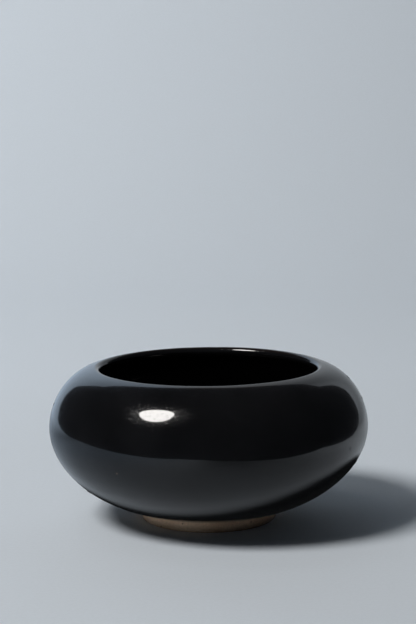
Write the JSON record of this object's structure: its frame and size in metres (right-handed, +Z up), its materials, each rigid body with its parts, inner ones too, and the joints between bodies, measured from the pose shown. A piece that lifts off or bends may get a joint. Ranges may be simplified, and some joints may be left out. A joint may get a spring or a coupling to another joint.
{
  "type": "small glazed pottery bowl",
  "caption": "Squat closed-form pottery bowl, full round belly, wide mouth with a thin round lip, glossy black glaze inside and out, bare clay foot ring.",
  "frame": {"origin": "centre of the circle that the foot ring stands on", "axes": "+Z up along the bowl's axis of revolution; +X and +Y level, and alike because the bowl is round"},
  "size_m": [0.1, 0.1, 0.0484],
  "materials": {
    "bare_clay": "unglazed, fired to a pale tan, fine grained and matt",
    "black_glaze": "near-black glaze with a mirror gloss and a few pinholes and specks"
  },
  "bodies": {
    "root": {"clay_body": "bare_clay", "foot_ring": "bare_clay", "outer_glaze": "black_glaze", "inner_glaze": "black_glaze"}
  },
  "joints": []
}
